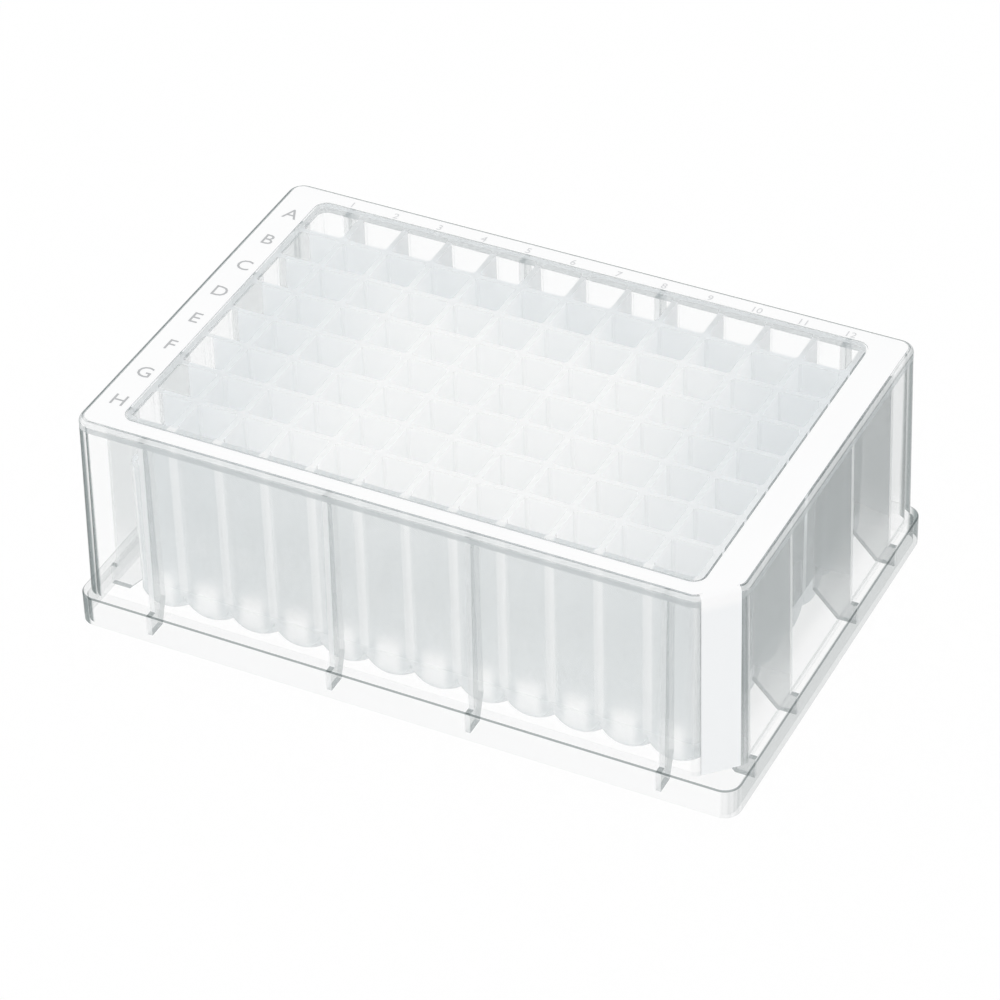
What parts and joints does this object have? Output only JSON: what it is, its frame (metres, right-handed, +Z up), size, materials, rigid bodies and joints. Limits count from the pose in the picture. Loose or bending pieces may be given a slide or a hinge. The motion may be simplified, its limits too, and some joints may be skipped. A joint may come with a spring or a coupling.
{
  "type": "well plate",
  "caption": "Clear deep-well plate: a grid of square wells with round bottoms, a white-bordered rim, a flared skirt, a base flange and one cut corner.",
  "frame": {"origin": "centre of the plate's footprint, on the surface it stands on", "axes": "+X along the length, towards column 12; +Y across the width, towards row A; +Z up"},
  "size_m": [0.1278, 0.0854, 0.044],
  "materials": {
    "clear_plastic": "clear, slightly milky",
    "white_print": "satin"
  },
  "bodies": {
    "root": {"rim": "clear_plastic", "skirt": "clear_plastic", "base_flange": "clear_plastic", "webs": "clear_plastic", "row_walls": "clear_plastic", "column_walls": "clear_plastic", "well_corners": "clear_plastic", "well_floors": "clear_plastic", "white_border": "white_print"}
  },
  "joints": []
}
